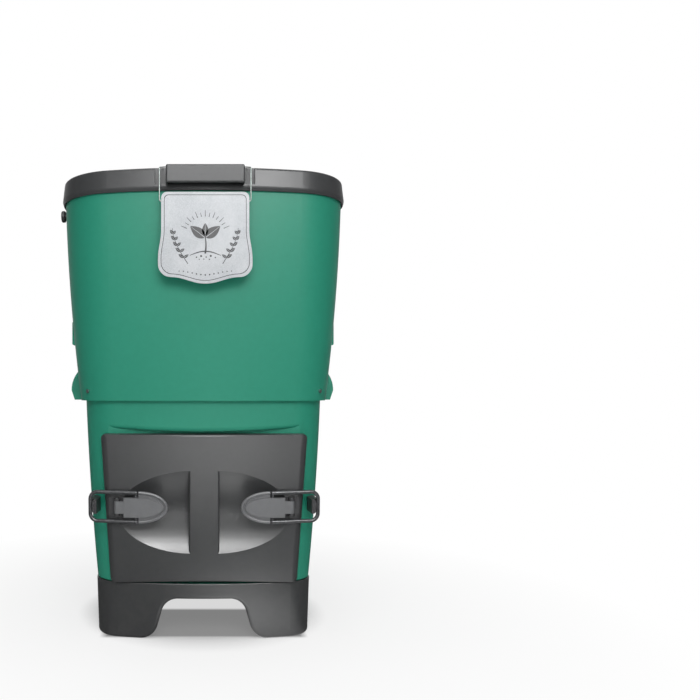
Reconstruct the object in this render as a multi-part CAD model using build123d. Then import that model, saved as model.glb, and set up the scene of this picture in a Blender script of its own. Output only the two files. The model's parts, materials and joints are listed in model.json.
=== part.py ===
from build123d import *
import math
import os

os.makedirs("parts", exist_ok=True)

# All sizes are millimetres. +Z is up and the hatch faces -Y.

# Plan outline at the lower edge of the lid: every wall is an inset of this outline
PLAN_WIDTH = 677.0
PLAN_DEPTH = 660.0
BOW_RADIUS = 1060.0          # curve of the front wall
CORNER_RADIUS = 150.0
LEAST_CORNER = 12.0

# Heights above the ground
BASE_RIM_Z = 131.0
ARCH_TOP_Z = 95.0
CASING_LOW_Z = 134.0         # lower edge of the lower casing's wide part
SEAM_Z = 555.0               # lower edge of the upper casing
SEAM_OVERLAP = 37.0          # the lower section stands this far up inside the upper casing
BODY_TOP_Z = 1028.0
LID_EDGE_Z = 1020.0
LID_RIM_Z = 1070.5
LID_CROWN = 20.0             # the lid's middle stands this far above its rim

# Insets of the walls from the plan outline
UPPER_TOP_INSET = 7.0
UPPER_LOW_INSET = 44.0
UPPER_BELLY = 6.0            # how far the wall bulges past a straight taper
LOWER_TOP_INSET = 54.5
LOWER_LOW_INSET = 84.0
LOWER_BELLY = 3.5
NECK_STEP = 6.0              # the casing narrows by this where it stands in the base
BASE_TOP_INSET = 82.0
BASE_FOOT_INSET = 86.5
LID_DRAFT = 5.0
LID_WAIST_Z = 1028.0         # the lid is widest here
LID_TUCK = 2.5               # its lower edge turns in by this
LID_TUCK_ROUND = 12.0
SKIRT_ROOM = 1.3             # extra room inside the lower edge

# Walls and clearances
WALL = 4.0
LINER = 3.0
FOAM = 33.0
BASE_WALL = 5.0
GAP = 0.3                    # between pieces that seat on each other
FOAM_GAP = 0.5
RUN_GAP = 0.05               # radial clearance of pins and turning stems
COLLAR_GAP = 1.0
CUT = 1.0                    # cutting solids reach past a face by this
FACE_SPARE = 0.05            # faces of two cutting solids that would lie in one plane
SAME_PLACE = 0.01

# Base stand
ARCH_TOP_WIDTH = 180.0
ARCH_FOOT_WIDTH = 234.0
ARCH_TOP_ROUND = 39.0
FOOT_SIDE_ROUND = 42.0
FOOT_ROUND = 8.0             # along the feet's lower edges and round the arches
BASE_EDGE_ROUND = 1.5

# Floor, grate and drain
FLANGE_THICK = 4.0
PAN_RIB = 4.0
PAN_RIB_PITCH = 90.0
PAN_RIB_COUNT = 3
GRATE_THICK = 4.0
GRATE_SEAT = 24.0            # air space under the grate
GRATE_SLOT = (46.0, 7.0)
GRATE_PITCH = (60.0, 22.0)
GRATE_COUNT = (5, 12)
DRAIN_BORE = 10.0
DRAIN_OUTER = 14.0
DRAIN_LENGTH = 20.0
CAP_WALL = 3.0
CAP_HEIGHT = 16.0

# Hatch, in a frame that leans with the front wall: its origin is the middle of the recess floor
HATCH_Z = 307.0
HATCH_HEIGHT = 346.0
HATCH_TOP_SIDE = 100.0       # from the plan's side to the hatch's upper corner
HATCH_LOW_SIDE = 120.5
HATCH_CORNER = 12.0
HATCH_FRONT = 21.0           # hatch face stands this far in front of the recess floor
HATCH_BOW = 9000.0
HATCH_SIDE_ROUND = 15.0
HATCH_EDGE_ROUND = 5.0
RECESS_DEPTH = 28.0
EAVE_ABOVE = 9.5             # recess ceiling above the hatch
EAVE_SLOPE = 0.22
BROW_ROUND = 10.0
BROW_BAND = 25.0             # height of the strip of casing whose lower edge is the brow
BROW_REACH = 60.0            # that strip ends this far behind the recess floor
BROW_FILL = 8.0              # the wall is thicker by this just above the brow
SILL_BELOW = 4.5
RECESS_REACH = 200.0
DOOR_MARGIN = 28.0
DOOR_CORNER = 20.0
FRAME_WALL = 3.0
PLUG_GAP = 1.5
PLUG_DEPTH = 18.0
PAN_FLANGE_Y = -6.0          # back of the pan's flange
SEAL_MARGIN = 8.0
SEAL_WIDTH = 12.0

# Hand scoops of the hatch
SCOOP_BAR = 71.0             # upright bar between the scoops
SCOOP_CENTRE_X = 24.0
SCOOP_SIDE = 34.5            # from the scoop's end to the hatch's upper corner
SCOOP_HALF_HEIGHT = 97.0
SCOOP_DEPTH = 30.0
SCOOP_Z = -8.0
BAR_ROUND = 5.0

# Latches, in the hatch's frame, right-hand side: reaches along x are measured from the lever's pivot
LATCH_Z = 7.0
PIVOT_SIDE = 138.5           # from the plan's side to the pivot
PIVOT_Y = -30.0
PIN_RADIUS = 3.0
EAR_RADIUS = 7.0
EAR_THICK = 5.0
KNUCKLE_RADIUS = 6.5
KNUCKLE_HALF = 14.2
EAR_GAP = 0.6
BRACKET_WIDTH = 38.0
BRACKET_FOOT_Y = -20.0
LEVER_FRONT = -40.0
LEVER_THICK = 9.0
LEVER_HALF = 22.5
LEVER_HEEL = 16.0
LEVER_REACH = 113.0
NOSE_START = 50.0            # the lever's round nose starts here
NOSE_MARGIN = 7.0            # the raised face ends this far behind the tip
RIM_RADIUS = 3.7
BAIL_ARM = 44.0
BAIL_Y = -35.5
BAIL_WIRE = 4.4
BAIL_HALF = 33.7
BAIL_STUB = (3.0, 6.5)       # radius of the bail's pivots, and their depth in the lever
BAIL_REACH = 62.0
BAIL_END_Y = -20.0
BAIL_END_BEND = 17.0
CATCH_HALF = 16.0
CATCH_ROUND = 8.0
CATCH_REACH = 47.0           # inner face of the catch
CATCH_FRONT = 4.5            # the catch reaches this far in front of the bail's end
CATCH_CLEAR = 0.5
CATCH_ROOT = (56.0, 45.0)

# Side grips and pads of the upper casing
GRIP_LENGTH = 180.0
GRIP_REACH = 36.0            # past the wall's lower edge
GRIP_BULGE_Z = 579.0
GRIP_SWELL = (28.0, 613.0)   # a point of the swelling above the bulge
GRIP_TOP_Z = 637.0
GRIP_TUCK = 8.0              # the lower edge turns in by this
GRIP_ROOF = 4.8              # the finger hollow ends this far below the grip's top
PAD_LOW_Z = 689.0
PAD_TOP_Z = 747.0
PAD_LENGTH = 92.0
PAD_REACH = 8.5
PAD_SETBACK = 8.0
PAD_ROUND = 5.0

# Lid: grip block and the bay behind it
BAY_WIDTH = 222.0
BAY_DEPTH = 14.0
BLOCK_WIDTH = 172.0
BLOCK_OUT = 20.0             # grip block in front of the lid's edge
BAY_LOW_Z = 1034.0
BLOCK_LOW_Z = 1030.5
BLOCK_TOP_Z = 1071.0
BLOCK_WALL = 4.0
BLOCK_ROUND = 4.0
LID_ROUND = 6.0
CROWN_SHOULDER = 0.68        # share of the crown reached at the first step
CROWN_STEP = 55.0
CROWN_REACH = 138.0
LID_SEAL = 3.4
LID_SEAL_WIDTH = 14.0

# Sign plate and its wire
PLATE_THICK = 1.2
PLATE_OUT = 12.0             # back of the plate in front of the lid's edge
PLATE_TOP_Z = 1011.7
PLATE_LOW_Z = 811.7
PLATE_HALF = 96.0
PLATE_FLARE = 103.0
PLATE_CORNER = 13.0
PLATE_SIDE_Z = 928.0         # the sides begin to flare here
PLATE_FLARE_Z = 867.0        # and end here
PLATE_FOOT_ROUND = 28.0
PLATE_POINT = 14.3           # the middle of the lower edge hangs this far below its corners
LUG_RADIUS = 3.2
LUG_LENGTH = 12.0
WIRE_RADIUS = 1.25
WIRE_X = 100.0
WIRE_Z = 991.7
WIRE_BACK = 30.0             # the wire crosses the lid this far behind its edge
WIRE_TOP_X = 88.0
WIRE_BEND = 5.0

# Lid hinges
HINGE_X = 170.0
HINGE_OUT = 13.0             # hinge axis behind the plan outline
HINGE_DROP = 2.0             # hinge axis below the lid's edge
HINGE_PIN = 3.0
HINGE_EAR_RADIUS = 8.0
HINGE_EAR = 6.0
HINGE_KNUCKLE = 22.0
HINGE_SIDE_GAP = 1.0
HINGE_FOOT = (54.0, 46.0)    # width and height of the foot on the casing
HINGE_FOOT_THICK = 5.0
LEAF_THICK = 4.0

# Vent
VENT_Z = 1005.0
VENT_Y = -140.0
VENT_BORE = 8.0
VENT_WALL = 3.0
VENT_FLANGE = 14.5
VENT_FLANGE_THICK = 1.6
VENT_KNOB_RADIUS = 14.0
VENT_KNOB_THICK = 10.0
VENT_NECK = (9.5, 4.0)       # radius and length behind the knob
VENT_STEM = 24.0

# Screws
SCREW_SHANK = 2.0
SCREW_HEAD = 4.6
SCREW_HEAD_HEIGHT = 2.4
SCREW_LENGTH = 12.0
SCREW_Z = 577.0
SCREW_ANGLE = 48.0           # round the corner, from straight ahead
SCREW_SEAT = 0.6
BOSS_RADIUS = 6.0
LID_SCREW_SIDE = 118.5       # from the plan's side
LID_SCREW_END = 140.0        # from the plan's front and back
HATCH_SCREW_SIDE = 73.5      # from the hatch's side and from its ends
HATCH_SCREW_END = 55.0
BAR_SCREW_END = 113.0

# Placed so that the grip block and the hinges reach equally far from the origin
HINGE_REACH = HINGE_OUT + HINGE_EAR_RADIUS
FRONT_Y = -PLAN_DEPTH / 2 + (BLOCK_OUT - HINGE_REACH) / 2
REAR_Y = FRONT_Y + PLAN_DEPTH
LOWER_TOP_Z = SEAM_Z + SEAM_OVERLAP
TRAY_FLOOR_Z = ARCH_TOP_Z + BASE_WALL
STACK = WALL + FOAM          # outer face to the liner

# Places that follow the plan and the hatch
HATCH_TOP_WIDTH = PLAN_WIDTH - 2 * HATCH_TOP_SIDE
HATCH_LOW_WIDTH = PLAN_WIDTH - 2 * HATCH_LOW_SIDE
SCOOP_REACH = HATCH_TOP_WIDTH / 2 - SCOOP_SIDE - SCOOP_CENTRE_X
PIVOT_X = PLAN_WIDTH / 2 - PIVOT_SIDE
LEVER_HEEL_X = PIVOT_X - LEVER_HEEL
LEVER_TIP_X = PIVOT_X - LEVER_REACH
NOSE_X = PIVOT_X - NOSE_START
BAIL_X = PIVOT_X - BAIL_ARM
BAIL_END = (PIVOT_X + BAIL_REACH, BAIL_END_Y)
LID_SCREW_X = PLAN_WIDTH / 2 - LID_SCREW_SIDE
LID_SCREW_Y = PLAN_DEPTH / 2 - LID_SCREW_END
LID_SCREWS = [(x, y) for x in (-LID_SCREW_X, LID_SCREW_X) for y in (-LID_SCREW_Y, 0.0, LID_SCREW_Y)]
HATCH_SCREW_X = HATCH_TOP_WIDTH / 2 - HATCH_SCREW_SIDE
HATCH_SCREW_Z = HATCH_HEIGHT / 2 - HATCH_SCREW_END
BAR_SCREW_Z = HATCH_HEIGHT / 2 - BAR_SCREW_END
HATCH_SCREWS = [(x, z) for x in (-HATCH_SCREW_X, HATCH_SCREW_X) for z in (-HATCH_SCREW_Z, HATCH_SCREW_Z)]
HATCH_SCREWS += [(0.0, -BAR_SCREW_Z), (0.0, BAR_SCREW_Z)]


def eased(z, top_z, low_z, top, low, belly):
    share = (top_z - z) / (top_z - low_z)
    return top + (low - top) * share - 4 * belly * share * (1 - share)


def upper_inset(z):
    return eased(z, BODY_TOP_Z, SEAM_Z, UPPER_TOP_INSET, UPPER_LOW_INSET, UPPER_BELLY)


def lower_inset(z):
    return eased(z, LOWER_TOP_Z, CASING_LOW_Z, LOWER_TOP_INSET, LOWER_LOW_INSET, LOWER_BELLY)


def base_inset(z):
    return eased(z, BASE_RIM_Z, 0, BASE_TOP_INSET, BASE_FOOT_INSET, 0)


def corner_of(inset):
    """Radius and centre of the front right corner."""
    radius = max(CORNER_RADIUS - inset, LEAST_CORNER)
    x = PLAN_WIDTH / 2 - inset - radius
    y = FRONT_Y + BOW_RADIUS - math.sqrt((BOW_RADIUS - inset - radius) ** 2 - x ** 2)
    return radius, x, y


def plan_wire(inset, z):
    half = PLAN_WIDTH / 2 - inset
    front = FRONT_Y + inset
    rear = REAR_Y - inset
    bow = BOW_RADIUS - inset
    bow_y = FRONT_Y + BOW_RADIUS
    radius, x, y = corner_of(inset)
    turn = math.atan2(x, bow_y - y)
    halfway = (turn + math.pi / 2) / 2
    slant = radius * math.sqrt(0.5)
    join = (bow * math.sin(turn), bow_y - bow * math.cos(turn))
    front_mid = (x + radius * math.sin(halfway), y - radius * math.cos(halfway))
    rear_mid = (x + slant, rear - radius + slant)

    def right(point):
        return (point[0], point[1], z)

    def left(point):
        return (-point[0], point[1], z)

    side_front = (half, y)
    side_rear = (half, rear - radius)
    rear_end = (x, rear)
    return Wire([
        Edge.make_three_point_arc(left(join), (0, front, z), right(join)),
        Edge.make_three_point_arc(right(join), right(front_mid), right(side_front)),
        Edge.make_line(right(side_front), right(side_rear)),
        Edge.make_three_point_arc(right(side_rear), right(rear_mid), right(rear_end)),
        Edge.make_line(right(rear_end), left(rear_end)),
        Edge.make_three_point_arc(left(rear_end), left(rear_mid), left(side_rear)),
        Edge.make_line(left(side_rear), left(side_front)),
        Edge.make_three_point_arc(left(side_front), left(front_mid), left(join)),
    ])


def tapered(inset_of, low_z, top_z, grow=0.0):
    """Solid between two heights whose outline is the plan inset by inset_of(z) + grow."""
    heights = [low_z, (low_z + top_z) / 2, top_z]
    return Part() + Solid.make_loft([plan_wire(inset_of(z) + grow, z) for z in heights])


def prism(inset, low_z, top_z):
    return Part() + Solid.extrude(Face(plan_wire(inset, low_z)), (0, 0, top_z - low_z))


def slab(sketch, back_y, front_y):
    """Sketch drawn in x and z, spanning y from front_y to back_y."""
    return extrude(Plane.XZ.offset(-back_y) * sketch, amount=back_y - front_y)


def block(low, high):
    size = [b - a for a, b in zip(low, high)]
    middle = [(a + b) / 2 for a, b in zip(low, high)]
    return Pos(*middle) * Box(*size)


def rod(start, end, radius):
    axis = Vector(*end) - Vector(*start)
    plane = Plane(origin=start, z_dir=axis)
    return extrude(plane * Circle(radius), amount=axis.length)


def upright(x, y, low_z, top_z, radius):
    return rod((x, y, low_z), (x, y, top_z), radius)


def swept(path, radius):
    return sweep((path ^ 0) * Circle(radius), path=path)


def mirrored(part):
    return mirror(part, about=Plane.YZ)


# Frame of the hatch: it leans with the wall
LEAN = math.degrees(math.atan(
    (lower_inset(HATCH_Z - HATCH_HEIGHT / 2) - lower_inset(HATCH_Z + HATCH_HEIGHT / 2)) / HATCH_HEIGHT))
HATCH_Y = FRONT_Y + lower_inset(HATCH_Z) + RECESS_DEPTH
HATCH = Location((0, HATCH_Y, HATCH_Z), (LEAN, 0, 0))


def hatch_outline(margin, corner):
    top = HATCH_TOP_WIDTH / 2 - margin
    low = HATCH_LOW_WIDTH / 2 - margin
    half = HATCH_HEIGHT / 2 - margin
    shape = make_face(Polyline((-low, -half), (low, -half), (top, half), (-top, half), close=True))
    return fillet(shape.vertices(), corner)


def bowed(depth):
    """Everything behind the hatch's bowed face and within its rounded sides, sunk by depth."""
    def plan(width, z):
        half = width / 2 - depth
        apex = depth - HATCH_FRONT
        end = apex + HATCH_BOW - math.sqrt(HATCH_BOW ** 2 - half ** 2)
        back = HATCH_FRONT
        face = make_face([
            ThreePointArc((-half, end), (0, apex), (half, end)),
            Polyline((half, end), (half, back), (-half, back), (-half, end)),
        ])
        front_corners = face.vertices().group_by(Axis.Y)[0]
        return (Pos(0, 0, z) * fillet(front_corners, HATCH_SIDE_ROUND - depth)).face().outer_wire()

    middle = (HATCH_TOP_WIDTH + HATCH_LOW_WIDTH) / 2
    reach = HATCH_HEIGHT / 2 + CUT
    flare = (HATCH_TOP_WIDTH - HATCH_LOW_WIDTH) * reach / HATCH_HEIGHT
    return Part() + Solid.make_loft([plan(middle - flare, -reach), plan(middle + flare, reach)], True)


def hatch_form_at(depth, back_y, front_y):
    """The hatch's form sunk by depth, between two distances from the recess floor."""
    corners = hatch_outline(depth - FACE_SPARE, HATCH_CORNER - depth + FACE_SPARE)
    return slab(corners, back_y, front_y) & bowed(depth)


def recess(grow):
    """Cut for the hatch: floor, sloping ceiling and sill, all moved out by grow."""
    ceiling = HATCH_HEIGHT / 2 + EAVE_ABOVE + grow
    sill = -HATCH_HEIGHT / 2 - SILL_BELOW - grow
    profile = make_face(Polyline(
        (grow, sill), (grow, ceiling), (-RECESS_REACH, ceiling - RECESS_REACH * EAVE_SLOPE),
        (-RECESS_REACH, sill), close=True))
    return HATCH * extrude(Plane.YZ * profile, amount=PLAN_WIDTH, both=True)


def over_recess(low, top, back_y):
    """Everything in front of back_y, between two heights above the recess's sloping ceiling."""
    def ceiling(y):
        return HATCH_HEIGHT / 2 + EAVE_ABOVE + y * EAVE_SLOPE

    far = -RECESS_REACH
    profile = make_face(Polyline(
        (back_y, ceiling(back_y) + low), (back_y, ceiling(back_y) + top),
        (far, ceiling(far) + top), (far, ceiling(far) + low), close=True))
    return HATCH * extrude(Plane.YZ * profile, amount=PLAN_WIDTH, both=True)


def doorway(grow, back_y=RECESS_REACH, front_y=-RECESS_REACH):
    outline = hatch_outline(DOOR_MARGIN - grow, DOOR_CORNER)
    return HATCH * slab(outline, back_y, front_y)


def base_stand():
    def arch():
        top = ARCH_TOP_WIDTH / 2
        foot = ARCH_FOOT_WIDTH / 2
        far = foot + 2 * FOOT_SIDE_ROUND
        outline = FilletPolyline(
            (far, 0), (foot, 0), (top, ARCH_TOP_Z), (-top, ARCH_TOP_Z), (-foot, 0), (-far, 0),
            radius=[FOOT_SIDE_ROUND, ARCH_TOP_ROUND, ARCH_TOP_ROUND, FOOT_SIDE_ROUND])
        under = Polyline((-far, 0), (-far, -far), (far, -far), (far, 0))
        return make_face([outline, under])

    def tunnels(grow):
        outline = arch()
        if grow:
            outline = offset(outline, amount=grow)
        return [extrude(Plane.XZ * outline, amount=PLAN_DEPTH, both=True),
                extrude(Plane.YZ * outline, amount=PLAN_WIDTH, both=True)]

    outer = Part() + Solid.make_loft(
        [plan_wire(base_inset(0), 0), plan_wire(base_inset(BASE_RIM_Z), BASE_RIM_Z)], True)
    walls = outer.faces().sort_by(Axis.Z)[1:-1]
    stand = outer - tunnels(0)

    def lower_edge(edge):
        middle = edge @ 0.5
        return middle.Z < ARCH_TOP_Z + CUT and any(wall.distance_to(middle) < SAME_PLACE for wall in walls)

    stand = fillet([edge for edge in stand.edges() if lower_edge(edge)], FOOT_ROUND)
    stand = fillet(stand.edges().group_by(Axis.Z)[-1], BASE_EDGE_ROUND)
    inner = Part() + Solid.make_loft(
        [plan_wire(base_inset(z) + BASE_WALL, z) for z in (BASE_WALL, BASE_RIM_Z + CUT)], True)
    inner = fillet(inner.edges().group_by(Axis.Z)[0], FOOT_ROUND - BASE_WALL)
    drain = upright(0, 0, 0, BASE_RIM_Z, DRAIN_OUTER + COLLAR_GAP)
    return stand - (inner - tunnels(BASE_WALL)) - drain


NECK_INSET = LOWER_LOW_INSET + NECK_STEP
NECK_LOW_Z = TRAY_FLOOR_Z + GAP
FLANGE_TOP_Z = CASING_LOW_Z + WALL + CUT
DISH_INSET = LOWER_LOW_INSET + STACK + LINER
PAN_TOP_Z = NECK_LOW_Z + LINER + CUT


def floor_pan():
    dish_floor = PAN_TOP_Z
    flange = prism(NECK_INSET + WALL + FOAM_GAP, FLANGE_TOP_Z - FLANGE_THICK, FLANGE_TOP_Z)
    dish = prism(DISH_INSET, NECK_LOW_Z, FLANGE_TOP_Z)
    hollow = prism(DISH_INSET + LINER, dish_floor, FLANGE_TOP_Z + CUT)
    pan = flange + dish - hollow - recess(WALL + FOAM_GAP)
    inner_half = PLAN_WIDTH / 2 - DISH_INSET - LINER
    for index in range(PAN_RIB_COUNT):
        y = (index - (PAN_RIB_COUNT - 1) / 2) * PAN_RIB_PITCH + PAN_RIB_PITCH / 2
        low = (-inner_half - CUT, y - PAN_RIB / 2, dish_floor - CUT)
        high = (inner_half + CUT, y + PAN_RIB / 2, dish_floor + GRATE_SEAT)
        pan += block(low, high)
    spout_low = ARCH_TOP_Z - DRAIN_LENGTH
    pan += upright(0, 0, spout_low, dish_floor - CUT, DRAIN_OUTER)
    return pan - upright(0, 0, spout_low - CUT, dish_floor + CUT, DRAIN_BORE)


def drain_cap():
    top = ARCH_TOP_Z - CUT
    low = ARCH_TOP_Z - DRAIN_LENGTH - GAP - CAP_WALL
    cup = upright(0, 0, low, low + CAP_HEIGHT, DRAIN_OUTER + GAP + CAP_WALL)
    return cup - upright(0, 0, low + CAP_WALL, top, DRAIN_OUTER + GAP)


def aeration_grate():
    low = PAN_TOP_Z + GRATE_SEAT + GAP
    plate = prism(DISH_INSET + LINER + GAP, low, low + GRATE_THICK)
    slots = Sketch() + [place * SlotOverall(*GRATE_SLOT) for place in GridLocations(*GRATE_PITCH, *GRATE_COUNT)]
    return plate - extrude(Plane.XY.offset(low - CUT) * slots, amount=GRATE_THICK + 2 * CUT)


SHELL_TOP_Z = LOWER_TOP_Z - LINER


def lower_body():
    """Outside of the lower casing with its neck and its collar, filled in."""
    casing = tapered(lower_inset, CASING_LOW_Z, SHELL_TOP_Z)
    neck = prism(NECK_INSET, NECK_LOW_Z, CASING_LOW_Z + WALL)
    collar_low = SEAM_Z + WALL
    collar = tapered(upper_inset, collar_low, SHELL_TOP_Z, WALL + COLLAR_GAP)
    return casing + neck + collar - recess(0) - over_recess(-CUT, BROW_BAND, 0) + brow(casing)


def brow(casing):
    """Strip of the casing's front above the recess, with its lower edge rounded."""
    strip = casing & over_recess(0, BROW_BAND, BROW_REACH)
    ceiling = strip.faces().filter_by(GeomType.PLANE).sort_by(Axis.Z)[0]
    edge = [part for part in ceiling.edges() if part.geom_type != GeomType.LINE]
    return fillet(edge, BROW_ROUND) & over_recess(-BROW_BAND, BROW_BAND, 0)


def lower_cavity():
    casing = tapered(lower_inset, CASING_LOW_Z + WALL, SHELL_TOP_Z + CUT, WALL)
    neck = prism(NECK_INSET + WALL, NECK_LOW_Z - CUT, CASING_LOW_Z + WALL + CUT)
    return casing + neck - recess(WALL) - over_recess(-BROW_BAND, WALL + BROW_FILL, WALL)


def lower_shell(body):
    return body - lower_cavity() - doorway(FRAME_WALL + GAP) - seam_holes()


def lower_chamber(grow=0.0):
    """Space inside the lower liner."""
    return tapered(lower_inset, FLANGE_TOP_Z - CUT, LOWER_TOP_Z + CUT, STACK + LINER - grow)


def lower_liner():
    wall = tapered(lower_inset, FLANGE_TOP_Z + GAP, SHELL_TOP_Z + CUT, STACK)
    flange = prism(lower_inset(SHELL_TOP_Z), SHELL_TOP_Z, LOWER_TOP_Z)
    return wall + flange - lower_chamber() - doorway(FRAME_WALL + GAP)


def lower_insulation():
    foam = tapered(lower_inset, FLANGE_TOP_Z + FOAM_GAP, SHELL_TOP_Z - FOAM_GAP, WALL + FOAM_GAP)
    inner = tapered(lower_inset, FLANGE_TOP_Z, SHELL_TOP_Z, STACK - FOAM_GAP)
    edge = WALL + FOAM_GAP
    foam = foam - inner - recess(edge) - over_recess(-BROW_BAND, edge + BROW_FILL, edge)
    return foam - doorway(FRAME_WALL + FOAM_GAP)


def door_frame():
    tube = doorway(FRAME_WALL, front_y=0) - doorway(0)
    return tube - lower_chamber()


UPPER_LOW_Z = LOWER_TOP_Z + GAP
LINER_TOP_Z = BODY_TOP_Z - WALL


def side_grip():
    """Moulded grip on the right wall, open below for the fingers."""
    def outline(inset):
        wall = PLAN_WIDTH / 2 - upper_inset(SEAM_Z)
        reach = wall + GRIP_REACH - inset
        root = PLAN_WIDTH / 2 - upper_inset(GRIP_TOP_Z) - WALL / 2
        low = SEAM_Z - CUT if inset else SEAM_Z
        top = GRIP_TOP_Z - GRIP_ROOF if inset else GRIP_TOP_Z
        swell = (wall + GRIP_SWELL[0] - inset, GRIP_SWELL[1] - inset / 2)
        return make_face([
            Polyline((root, top), (wall - WALL / 2, low), (reach - GRIP_TUCK, low), (reach, GRIP_BULGE_Z)),
            ThreePointArc((reach, GRIP_BULGE_Z), swell, (root, top)),
        ])

    half = GRIP_LENGTH / 2
    shape = slab(outline(0), half, -half)
    hollow = slab(outline(WALL), half - WALL, WALL - half)
    return shape, hollow


def side_pad():
    _, _, corner_y = corner_of(0)
    start = corner_y + PAD_SETBACK
    wall = PLAN_WIDTH / 2 - upper_inset(PAD_TOP_Z)
    low = (wall - 4 * WALL, start, PAD_LOW_Z)
    high = (wall + PAD_REACH - WALL, start + PAD_LENGTH, PAD_TOP_Z)
    pad = block(low, high)
    return fillet(pad.faces().sort_by(Axis.X)[-1].edges(), PAD_ROUND)


def seam_screw_places():
    """Point on the casing and the way out of it for each screw at the seam."""
    radius, x, y = corner_of(upper_inset(SCREW_Z))
    turn = math.radians(SCREW_ANGLE)
    out_x = math.sin(turn)
    out_y = math.cos(turn)
    rear_y = REAR_Y - upper_inset(SCREW_Z) - radius
    for side in (-1, 1):
        yield Vector(side * (x + radius * out_x), y - radius * out_y, SCREW_Z), Vector(side * out_x, -out_y, 0)
        yield Vector(side * (x + radius * out_x), rear_y + radius * out_y, SCREW_Z), Vector(side * out_x, out_y, 0)


def seam_holes():
    holes = Part()
    for point, out in seam_screw_places():
        holes += rod(tuple(point - out * SCREW_LENGTH), tuple(point + out * WALL), SCREW_SHANK + RUN_GAP)
    return holes


def seam_screws():
    screws = Part()
    for point, out in seam_screw_places():
        seat = point + out * SCREW_SEAT
        screw = rod(tuple(seat - out * SCREW_LENGTH), tuple(seat), SCREW_SHANK)
        screw += rod(tuple(seat), tuple(seat + out * SCREW_HEAD_HEIGHT), SCREW_HEAD)
        screws += screw
    return screws


def vent_axis_rod(start_x, end_x, radius):
    return rod((-end_x, VENT_Y, VENT_Z), (-start_x, VENT_Y, VENT_Z), radius)


VENT_WALL_X = PLAN_WIDTH / 2 - upper_inset(VENT_Z)
VENT_INNER_X = VENT_WALL_X - STACK - LINER
VENT_TUBE = VENT_BORE + VENT_WALL


def upper_body():
    return tapered(upper_inset, SEAM_Z, LINER_TOP_Z)


def upper_shell(body):
    shape, hollow = side_grip()
    pad = side_pad()
    grips = shape - hollow
    added = grips + pad
    cavity = tapered(upper_inset, SEAM_Z - CUT, LINER_TOP_Z + CUT, WALL)
    vent = vent_axis_rod(VENT_INNER_X, VENT_WALL_X + VENT_FLANGE, VENT_TUBE + GAP)
    return body + added + mirrored(added) - cavity - vent - seam_holes()


def upper_chamber():
    return tapered(upper_inset, UPPER_LOW_Z - CUT, BODY_TOP_Z + CUT, STACK + LINER)


def upper_liner():
    wall = tapered(upper_inset, UPPER_LOW_Z, BODY_TOP_Z, STACK)
    top = prism(upper_inset(LINER_TOP_Z), LINER_TOP_Z, BODY_TOP_Z)
    low = prism(upper_inset(UPPER_LOW_Z) + WALL + GAP, UPPER_LOW_Z, UPPER_LOW_Z + LINER)
    vent = vent_axis_rod(0, PLAN_WIDTH, VENT_TUBE + GAP)
    return wall + top + low - upper_chamber() - vent


def upper_insulation():
    low = UPPER_LOW_Z + LINER + FOAM_GAP
    top = LINER_TOP_Z - FOAM_GAP
    foam = tapered(upper_inset, low, top, WALL + FOAM_GAP)
    inner = tapered(upper_inset, low - CUT, top + CUT, STACK - FOAM_GAP)
    return foam - inner - vent_axis_rod(0, PLAN_WIDTH, VENT_TUBE + FOAM_GAP)


def vent_sleeve(body):
    tube = vent_axis_rod(VENT_INNER_X, VENT_WALL_X + VENT_FLANGE_THICK, VENT_TUBE)
    flange = vent_axis_rod(VENT_WALL_X - WALL, VENT_WALL_X + VENT_FLANGE_THICK, VENT_FLANGE) - body
    return tube + flange - vent_axis_rod(0, PLAN_WIDTH, VENT_BORE)


def vent_knob():
    face = VENT_WALL_X + VENT_FLANGE_THICK + GAP
    neck_radius, neck_length = VENT_NECK
    back = face + neck_length
    knob = vent_axis_rod(back, back + VENT_KNOB_THICK, VENT_KNOB_RADIUS)
    knob = fillet(knob.edges().group_by(Axis.X)[0] + knob.edges().group_by(Axis.X)[-1], VENT_KNOB_THICK / 3)
    neck = vent_axis_rod(face, back + CUT, neck_radius)
    return knob + neck + vent_axis_rod(face - VENT_STEM, face, VENT_BORE - RUN_GAP)


HINGE_Y = REAR_Y + HINGE_OUT
HINGE_Z = LID_EDGE_Z - HINGE_DROP


def hinge_bracket(body):
    """Right-hand bracket on the casing's back: a foot and two ears."""
    width, height = HINGE_FOOT
    foot_top = HINGE_Z - HINGE_EAR_RADIUS - HINGE_DROP
    wall_y = REAR_Y - upper_inset(foot_top)
    foot = block((HINGE_X - width / 2, wall_y - 5 * WALL, foot_top - height),
                 (HINGE_X + width / 2, wall_y + HINGE_FOOT_THICK, foot_top))
    ears = Part()
    for side in (-1, 1):
        inner = HINGE_X + side * (HINGE_KNUCKLE / 2 + HINGE_SIDE_GAP)
        outer = inner + side * HINGE_EAR
        low_x = min(inner, outer)
        high_x = max(inner, outer)
        ears += rod((low_x, HINGE_Y, HINGE_Z), (high_x, HINGE_Y, HINGE_Z), HINGE_EAR_RADIUS)
        arm = Plane.YZ.offset(low_x) * make_face(Polyline(
            (wall_y, foot_top - height / 2), (HINGE_Y + HINGE_EAR_RADIUS, HINGE_Z),
            (HINGE_Y - HINGE_EAR_RADIUS, HINGE_Z), (wall_y, foot_top), close=True))
        ears += extrude(arm, amount=high_x - low_x)
    bore = rod((0, HINGE_Y, HINGE_Z), (PLAN_WIDTH, HINGE_Y, HINGE_Z), HINGE_PIN + RUN_GAP)
    return foot + ears - body - bore


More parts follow.
